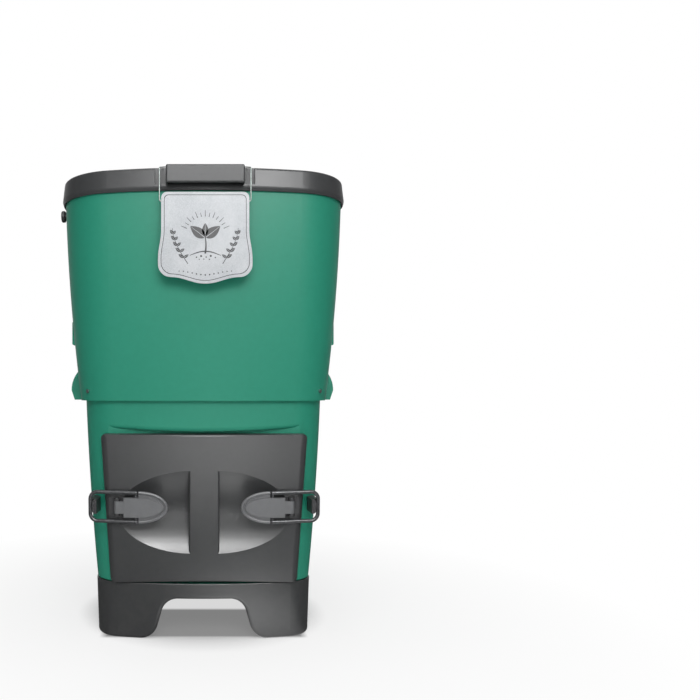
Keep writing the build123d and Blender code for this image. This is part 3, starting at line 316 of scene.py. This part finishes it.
def signFinish(settings):
    material, tree, shader, place = bareMaterial("signSilver")
    shader.inputs["Metallic"].default_value = settings["metallic"]
    shader.inputs["Specular IOR Level"].default_value = settings["specular"]
    flake = rangeNode(tree, noiseNode(tree, place, settings["flake"], 2.0, 0.8), 0.40, 0.64)
    cloud = rangeNode(tree, noiseNode(tree, place, 22.0, 4.0), 0.35, 0.7)
    colour = mixColour(tree, flake, settings["fleck"], settings["colour"])
    colour = mixColour(tree, mathNode(tree, "MULTIPLY", cloud, 0.35), colour, settings["bright"])
    link(tree, colour, shader.inputs["Base Color"])
    rough = mathNode(tree, "ADD", settings["roughness"], mathNode(tree, "MULTIPLY", flake, 0.14))
    link(tree, rough, shader.inputs["Roughness"])
    return material


inkSettings = {"colour": srgb(40, 41, 45), "shade": srgb(24, 25, 28), "roughness": 0.5}


def inkFinish(settings):
    material, tree, shader, place = bareMaterial("printInk")
    tone = rangeNode(tree, noiseNode(tree, place, 420.0, 3.0), 0.3, 0.7)
    link(tree, mixColour(tree, tone, settings["shade"], settings["colour"]), shader.inputs["Base Color"])
    shader.inputs["Roughness"].default_value = settings["roughness"]
    return material


foamSettings = {
    "colour": srgb(236, 234, 226), "shade": srgb(206, 203, 192), "roughness": 0.85,
    "bead": 260.0, "bump": 0.4, "beadDepth": 0.001,
}


def foamFinish(settings):
    material, tree, shader, place = bareMaterial("beadFoam")
    bead = tree.nodes.new("ShaderNodeTexVoronoi")
    link(tree, place, bead.inputs["Vector"])
    bead.inputs["Scale"].default_value = settings["bead"]
    tone = rangeNode(tree, bead.outputs["Distance"], 0.2, 0.7)
    link(tree, mixColour(tree, tone, settings["colour"], settings["shade"]), shader.inputs["Base Color"])
    shader.inputs["Roughness"].default_value = settings["roughness"]
    bump = tree.nodes.new("ShaderNodeBump")
    bump.inputs["Strength"].default_value = settings["bump"]
    bump.inputs["Distance"].default_value = settings["beadDepth"]
    bump.invert = True
    link(tree, bead.outputs["Distance"], bump.inputs["Height"])
    link(tree, bump.outputs["Normal"], shader.inputs["Normal"])
    return material


rubberSettings = {"colour": srgb(38, 38, 39), "shade": srgb(22, 22, 23), "roughness": 0.72}


def rubberFinish(settings):
    material, tree, shader, place = bareMaterial("sealRubber")
    tone = rangeNode(tree, noiseNode(tree, place, 300.0, 4.0), 0.3, 0.7)
    link(tree, mixColour(tree, tone, settings["shade"], settings["colour"]), shader.inputs["Base Color"])
    shader.inputs["Roughness"].default_value = settings["roughness"]
    return material


greenCasing = plasticFinish("greenCasing")
greyCasing = plasticFinish("greyCasing")
lidCasing = plasticFinish("lidCasing")
latchPlastic = plasticFinish("latchPlastic")
darkPlastic = plasticFinish("darkPlastic")
innerPlastic = plasticFinish("innerPlastic")
brightSteel = metalFinish("brightSteel")
signWire = metalFinish("signWire")
bailWire = metalFinish("bailWire")
signSilver = signFinish(signSettings)
printInk = inkFinish(inkSettings)
beadFoam = foamFinish(foamSettings)
sealRubber = rubberFinish(rubberSettings)

slotFinish = {
    "green_casing": greenCasing, "grey_casing": greyCasing, "dark_plastic": darkPlastic,
    "inner_plastic": innerPlastic, "foam": beadFoam, "seal_rubber": sealRubber, "bare_steel": brightSteel,
    "bail_wire": bailWire, "plate": signSilver,
}
nodeFinish = {
    "latch_lever_left": latchPlastic, "latch_lever_right": latchPlastic, "hang_wire": signWire,
    "lid_shell": lidCasing, "lid_grip": lidCasing,
}
for part in frame["record"]["subparts"]:
    finish = nodeFinish.get(part["node"], slotFinish[part["material_slot"]])
    for materialSlot in frame["nodes"][part["node"]].material_slots:
        materialSlot.material = finish

# printed design on the hanging plate, in millimetres across it and down from its top

plateSettings = {
    "half": 96.0, "flare": 103.0, "foot": -185.7, "tip": -200.0,
    "cornerRound": 13.0, "footRound": 28.0, "flareStart": -83.7, "flareDrop": 61.0,
}
printSettings = {
    "proud": 0.00016,  # metres
    "border": 6.0, "borderWidth": 1.3,
    "sproutFoot": (0.0, -134.7), "stemTop": (0.0, -97.7),
    "rayRing": (44.0, 53.0), "rays": 13,
    "soil": [(-19, -8, 1.7), (-9, -5.5, 2.3), (2, -7.5, 1.6), (12, -5, 2.4),  # across, up and radius
             (22, -8.5, 1.5), (-3, -12, 1.3), (9, -12.5, 1.5), (-13, -12.5, 1.2)],
}


def smoothStep(share):
    return share * share * (3 - 2 * share)


def plateEdge(settings, margin):
    half, flare = settings["half"] - margin, settings["flare"] - margin
    top, foot, tip = -margin, settings["foot"] + margin, settings["tip"] + margin
    cornerRound = settings["cornerRound"] - 0.5 * margin
    footRound = settings["footRound"] - 0.5 * margin
    right = []
    for step in range(9):
        turn = math.pi / 2 * step / 8
        right.append((half - cornerRound * (1 - math.sin(turn)),
                      top - cornerRound * (1 - math.cos(turn))))
    for step in range(13):
        share = step / 12
        right.append((half + (flare - half) * smoothStep(share),
                      settings["flareStart"] - settings["flareDrop"] * share))
    for step in range(9):
        turn = math.pi / 2 * step / 8
        right.append((flare - footRound * (1 - math.cos(turn)),
                      foot + footRound * (1 - math.sin(turn))))
    for step in range(1, 13):
        share = step / 12
        right.append(((flare - footRound) * (1 - share), foot + (tip - foot) * smoothStep(share)))
    left = [(-x, z) for x, z in reversed(right[:-1])]
    return right + left


def ringQuads(outer, inner):
    count = len(outer)
    return [[outer[i], outer[(i + 1) % count], inner[(i + 1) % count], inner[i]] for i in range(count)]


def leafHalves(foot, angle, length, width, vein=0.7):
    along = (math.cos(angle), math.sin(angle))
    across = (-along[1], along[0])
    halves = []
    for side in (-1, 1):
        rim, spine = [], []
        for step in range(15):
            share = step / 14
            swell = vein + (width - vein) * math.sin(math.pi * share ** 0.8) ** 0.9
            inner = min(vein * (1 - 0.7 * share), swell)
            base = (foot[0] + along[0] * length * share, foot[1] + along[1] * length * share)
            rim.append((base[0] + side * across[0] * swell, base[1] + side * across[1] * swell))
            spine.append((base[0] + side * across[0] * inner, base[1] + side * across[1] * inner))
        for step in range(14):
            halves.append([rim[step], rim[step + 1], spine[step + 1], spine[step]])
    return halves


def band(points, widths):
    quads = []
    edges = []
    for index, point in enumerate(points):
        before = points[max(index - 1, 0)]
        after = points[min(index + 1, len(points) - 1)]
        way = (after[0] - before[0], after[1] - before[1])
        size = math.hypot(*way)
        across = (-way[1] / size * widths[index] / 2, way[0] / size * widths[index] / 2)
        edges.append(((point[0] + across[0], point[1] + across[1]),
                      (point[0] - across[0], point[1] - across[1])))
    for first, second in zip(edges, edges[1:]):
        quads.append([first[0], second[0], second[1], first[1]])
    return quads


def disc(centre, radius, count=18):
    points = []
    for step in range(count):
        turn = 2 * math.pi * step / count
        points.append((centre[0] + radius * math.cos(turn), centre[1] + radius * math.sin(turn)))
    return points


def printShapes(settings):
    border = settings["border"]
    shapes = ringQuads(plateEdge(plateSettings, border),
                       plateEdge(plateSettings, border + settings["borderWidth"]))
    footX, footZ = settings["sproutFoot"]
    topX, topZ = settings["stemTop"]
    stem = [(footX + 1.6 * math.sin(3.1 * step / 10), footZ + (topZ - footZ) * step / 10)
            for step in range(11)]
    shapes += band(stem, [4.2 - 0.2 * step for step in range(11)])
    shapes += leafHalves((topX + 0.8, topZ - 2), math.radians(38), 40, 11)
    shapes += leafHalves((topX - 0.8, topZ - 2), math.radians(142), 40, 11)
    shapes += leafHalves((topX, topZ + 2), math.radians(90), 27, 7)
    low, high = settings["rayRing"]
    for step in range(settings["rays"]):
        turn = math.radians(24 + 132 * step / (settings["rays"] - 1))
        reach = high if step % 2 else high + 5
        start = (topX + low * math.cos(turn), topZ + low * math.sin(turn))
        end = (topX + reach * math.cos(turn), topZ + reach * math.sin(turn))
        shapes += band([start, end], [1.7, 0.9])
    mound = [(footX - 34 + 68 * step / 20, footZ + 9 * math.sin(math.pi * step / 20) - 4)
             for step in range(21)]
    shapes += band(mound, [1.2 + 1.6 * math.sin(math.pi * step / 20) for step in range(21)])
    for x, z, radius in settings["soil"]:
        shapes.append(disc((footX + x, footZ + z), radius))
    for side in (-1, 1):
        twig = []
        for step in range(13):
            share = step / 12
            twig.append((side * (38 + 34 * math.sin(1.5 * share)), 78 * share - 156.7))
        shapes += band(twig, [1.7 - 0.07 * step for step in range(13)])
        for index in range(2, 12, 2):
            x, z = twig[index]
            lean = 0.45 + 0.05 * index
            outward = lean if side > 0 else math.pi - lean
            shapes += leafHalves((x, z), outward, 15 - 0.45 * index, 3.4, 0.4)
            inward = math.pi - 0.55 - 0.03 * index if side > 0 else 0.55 + 0.03 * index
            shapes += leafHalves((x, z), inward, 13 - 0.4 * index, 3.0, 0.4)
    for step in range(-6, 7):
        share = abs(step) / 6
        shapes.append(disc((step * 9.5, 8.5 * smoothStep(share) - 181.2), 1.25 + 0.5 * (1 - share), 14))
    return shapes


def addPrint(settings):
    sheet = bmesh.new()
    lowCorner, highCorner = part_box("sign_plate")
    for points in printShapes(settings):
        corners = [sheet.verts.new((x / 1000, lowCorner[1], highCorner[2] + z / 1000)) for x, z in points]
        sheet.faces.new(corners)
    bmesh.ops.remove_doubles(sheet, verts=sheet.verts, dist=0.00002)
    raised = bmesh.ops.extrude_face_region(sheet, geom=sheet.faces[:])
    moved = [item for item in raised["geom"] if isinstance(item, bmesh.types.BMVert)]
    bmesh.ops.translate(sheet, verts=moved, vec=(0, -settings["proud"], 0))
    bmesh.ops.recalc_face_normals(sheet, faces=sheet.faces)
    mesh = bpy.data.meshes.new("platePrint")
    sheet.to_mesh(mesh)
    sheet.free()
    mesh.materials.append(printInk)
    piece = bpy.data.objects.new("platePrint", mesh)
    scene.collection.objects.link(piece)
    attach(piece, "sign")


addPrint(printSettings)
print("plate print added")

# floor and light

stageSettings = {
    "size": 24.0, "colour": srgb(246, 246, 246), "bright": srgb(250, 250, 250), "roughness": 0.7,
    "near": (0.23, 0.325), "nearShare": (0.15, 0.75), "far": (0.34, 1.15), "farShare": (0.0, 0.25),
    # the next three entries set the floor's glow in reflections: painted reflections, dim everywhere and
    # bright in pools in front of the bin
    "paintedPoolBase": 0.08,
    "paintedPools": [{"centre": (0.16, -2.2, 0.0), "reach": (0.58, 0.0), "glow": 21.0},
              {"centre": (0.14, -0.42, 0.0), "reach": (0.27, 0.03), "glow": 3.2}],
    # the next two entries set a painted shadow where the camera sees the floor under the bin, and painted
    # light behind its middle
    "underSide": (0.246, 0.228), "underEnd": (0.229, 0.215), "paintedShadeShare": 0.85,
    "paintedLightEdge": (-0.014, 0.004), "paintedUnderTone": (0.246, 0.8),
}


def addFloor(settings):
    mesh = bpy.data.meshes.new("paleFloor")
    half = settings["size"] / 2
    corners = [(-half, -half, 0), (half, -half, 0), (half, half, 0), (-half, half, 0)]
    mesh.from_pydata(corners, [], [(0, 1, 2, 3)])
    floor = bpy.data.objects.new("paleFloor", mesh)
    scene.collection.objects.link(floor)
    material, tree, shader, place = bareMaterial("paleFloor")
    tone = rangeNode(tree, noiseNode(tree, place, 3.0, 3.0), 0.3, 0.7)
    link(tree, mixColour(tree, tone, settings["colour"], settings["bright"]), shader.inputs["Base Color"])
    shader.inputs["Roughness"].default_value = settings["roughness"]
    rays = tree.nodes.new("ShaderNodeLightPath")
    seen = mathNode(tree, "MAXIMUM", rays.outputs["Is Camera Ray"], rays.outputs["Is Transmission Ray"])
    # away from the bin the floor runs out into plain white, so no horizon shows
    away = lengthFrom(tree, place, (0.0, 0.0, 0.0))
    far = mathNode(tree, "ADD", rangeNode(tree, away, *settings["near"], *settings["nearShare"]),
                   rangeNode(tree, away, *settings["far"], *settings["farShare"]))
    # painted shadow: where the camera sees the floor under the bin it glows an even grey instead of taking
    # real shade, and behind the middle it glows brighter as painted light, as if light came in from behind
    # through the rear arch
    spot = tree.nodes.new("ShaderNodeSeparateXYZ")
    link(tree, place, spot.inputs[0])
    paintedFloorMask = mathNode(tree, "MULTIPLY",
                     rangeNode(tree, mathNode(tree, "ABSOLUTE", spot.outputs["X"]), *settings["underSide"]),
                     rangeNode(tree, mathNode(tree, "ABSOLUTE", spot.outputs["Y"]), *settings["underEnd"]))
    paintedUnderTone = rangeNode(tree, spot.outputs["Y"], *settings["paintedLightEdge"], *settings["paintedUnderTone"])
    paintedShadow = mathNode(tree, "MULTIPLY", paintedFloorMask, mathNode(tree, "SUBTRACT", 1.0, paintedUnderTone))
    far = mathNode(tree, "MAXIMUM", far, mathNode(tree, "MULTIPLY", paintedFloorMask, settings["paintedShadeShare"]))
    # painted reflections: in reflections the floor is only a glow, dim everywhere and bright in pools in
    # front of the bin, which paint highlights on the grey parts
    paintedPool = settings["paintedPoolBase"]
    for lit in settings["paintedPools"]:
        glow = rangeNode(tree, lengthFrom(tree, place, lit["centre"]), *lit["reach"], 0.0, lit["glow"])
        paintedPool = mathNode(tree, "ADD", glow, paintedPool)
    glossy = rays.outputs["Is Glossy Ray"]
    white = tree.nodes.new("ShaderNodeEmission")
    white.inputs["Color"].default_value = (1.0, 1.0, 1.0, 1.0)
    # camera rays see the floor as white glow, dimmed under the bin to the painted shadow and the painted
    # light
    direct = mathNode(tree, "MULTIPLY", seen, mathNode(tree, "SUBTRACT", 1.0, paintedShadow))
    strength = mathNode(tree, "ADD", mathNode(tree, "MULTIPLY", glossy, paintedPool), direct)
    link(tree, strength, white.inputs["Strength"])
    mix = tree.nodes.new("ShaderNodeMixShader")
    # in reflections the floor shows only its painted glow; where the camera sees it, it is white glow away
    # from the bin and the painted shadow under it
    share = mathNode(tree, "MAXIMUM", mathNode(tree, "MULTIPLY", far, seen), glossy)
    link(tree, share, mix.inputs[0])
    link(tree, shader.outputs[0], mix.inputs[1])
    link(tree, white.outputs[0], mix.inputs[2])
    link(tree, mix.outputs[0], tree.nodes["Material Output"].inputs["Surface"])
    mesh.materials.append(material)


lamps = {
    "wideLamp": {"place": (0.15, -2.9, 2.2), "aim": (0.0, -0.25, 0.55), "size": (1.7, 1.2),
                 "power": 42.0, "glossyOnly": False},
    "topLamp": {"place": (0.0, -0.7, 3.4), "aim": (0.0, -0.1, 0.5), "size": (1.8, 1.8),
                "power": 36.0, "glossyOnly": False},
    "glintLamp": {"place": (1.2, -2.8, 2.4), "aim": (0.05, -0.3, 0.9), "size": (1.0, 0.6),
                  "power": 95.0, "glossyOnly": True},
    "scoopLamp": {"place": (-0.3, -2.5, 2.1), "aim": (0.0, -0.25, 0.3), "size": (1.2, 0.9),
                  "power": 36.0, "glossyOnly": True},
}


def addLamp(name, settings):
    lamp = bpy.data.lights.new(name, "AREA")
    lamp.shape = "RECTANGLE"
    lamp.size, lamp.size_y = settings["size"]
    lamp.energy = settings["power"]
    lampObject = bpy.data.objects.new(name, lamp)
    scene.collection.objects.link(lampObject)
    lampObject.location = settings["place"]
    lampObject.visible_diffuse = not settings["glossyOnly"]
    way = Vector(settings["aim"]) - Vector(settings["place"])
    lampObject.rotation_euler = way.to_track_quat("-Z", "Y").to_euler()


worldSettings = {"side": 0.12, "front": 0.95, "toward": (0.03, -0.99, 0.14), "spread": (0.5, 0.97)}


def addWorld(settings):
    # lit studio walls in front and behind, dim to the sides, and plain white where seen directly
    world = bpy.data.worlds.new("studioWorld")
    scene.world = world
    world.use_nodes = True
    tree = world.node_tree
    back = tree.nodes["Background"]
    back.inputs["Color"].default_value = (1.0, 1.0, 1.0, 1.0)
    way = tree.nodes.new("ShaderNodeTexCoord")
    facing = tree.nodes.new("ShaderNodeVectorMath")
    facing.operation = "DOT_PRODUCT"
    link(tree, way.outputs["Generated"], facing.inputs[0])
    facing.inputs[1].default_value = settings["toward"]
    facing = mathNode(tree, "ABSOLUTE", facing.outputs["Value"])
    studio = rangeNode(tree, facing, *settings["spread"], settings["side"], settings["front"])
    rays = tree.nodes.new("ShaderNodeLightPath")
    seen = mathNode(tree, "MAXIMUM", rays.outputs["Is Camera Ray"], rays.outputs["Is Transmission Ray"])
    link(tree, mathNode(tree, "MAXIMUM", studio, seen), back.inputs["Strength"])


addFloor(stageSettings)
for lampName, lampSettings in lamps.items():
    addLamp(lampName, lampSettings)
addWorld(worldSettings)
print("floor, lamps and world set")
